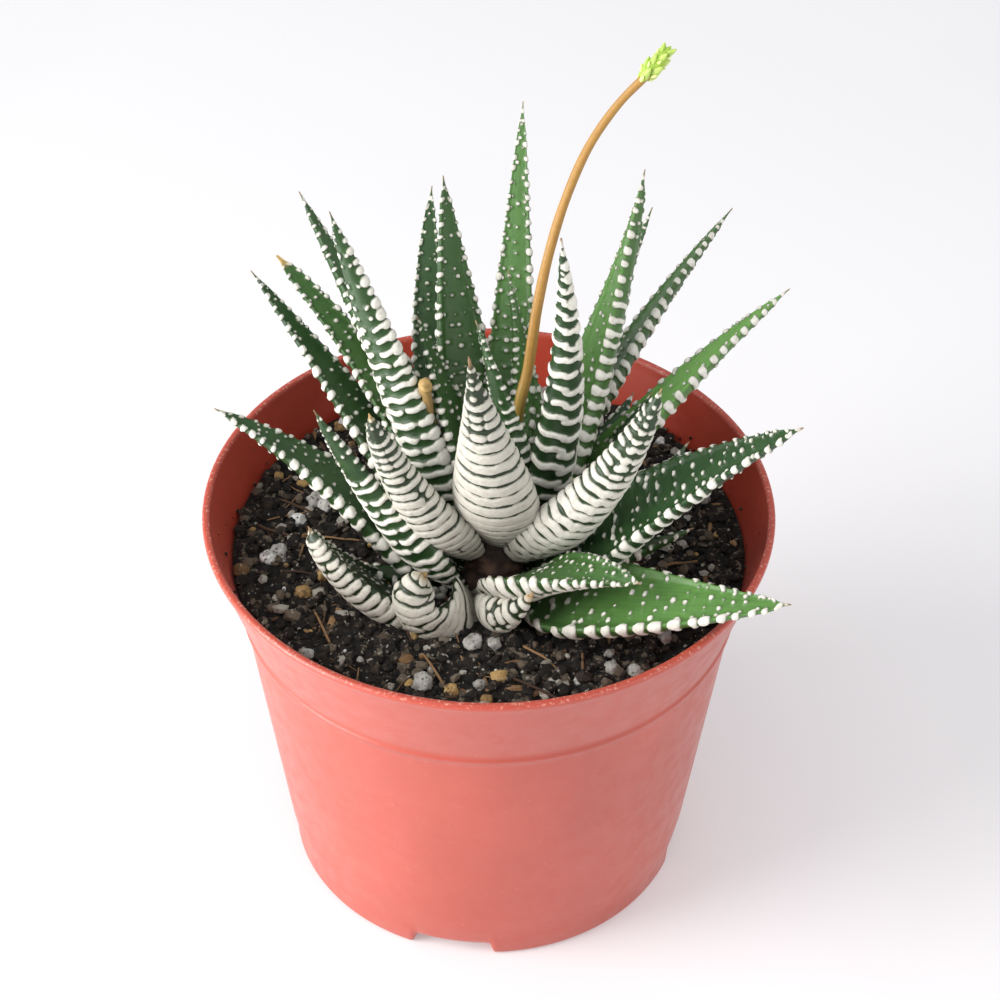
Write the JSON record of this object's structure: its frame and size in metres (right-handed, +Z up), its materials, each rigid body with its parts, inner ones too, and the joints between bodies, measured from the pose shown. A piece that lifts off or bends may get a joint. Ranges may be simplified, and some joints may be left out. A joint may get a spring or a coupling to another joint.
{
  "type": "potted haworthia",
  "caption": "Small haworthia with a leaning rosette of pointed dark green leaves banded in raised white, a thin budding flower stalk, in soil in a round terracotta-red plastic nursery pot.",
  "frame": {"origin": "middle of the pot's foot, on the surface that the pot stands on", "axes": "+X to the right and +Y away as the plant is seen from its front, +Z up"},
  "size_m": [0.1014, 0.1012, 0.1634],
  "materials": {
    "pot_plastic": "satin",
    "potting_mix": "matte",
    "stem": "matte",
    "leaf": "satin",
    "flower_stalk": "satin",
    "bud_green": "satin",
    "dry_stalk": "matte",
    "cut_stalk": "satin"
  },
  "bodies": {
    "root": {"pot": "pot_plastic", "soil": "potting_mix", "stem_and_roots": "stem", "flower_stalk": "flower_stalk", "flower_buds": "bud_green", "dry_stalk_stub": "dry_stalk", "cut_stalk_stub": "cut_stalk", "leaf_01": "leaf", "leaf_02": "leaf", "leaf_03": "leaf", "leaf_04": "leaf", "leaf_05": "leaf", "leaf_06": "leaf", "leaf_07": "leaf", "leaf_08": "leaf", "leaf_09": "leaf", "leaf_10": "leaf", "leaf_11": "leaf", "leaf_12": "leaf", "leaf_13": "leaf", "leaf_14": "leaf", "leaf_15": "leaf", "leaf_16": "leaf", "leaf_17": "leaf", "leaf_18": "leaf", "leaf_19": "leaf", "leaf_20": "leaf", "leaf_21": "leaf", "leaf_22": "leaf", "leaf_23": "leaf", "leaf_24": "leaf", "leaf_25": "leaf", "leaf_26": "leaf", "leaf_27": "leaf", "leaf_28": "leaf", "leaf_29": "leaf", "leaf_30": "leaf", "leaf_31": "leaf", "leaf_32": "leaf", "leaf_33": "leaf", "leaf_34": "leaf", "leaf_35": "leaf"}
  },
  "joints": []
}
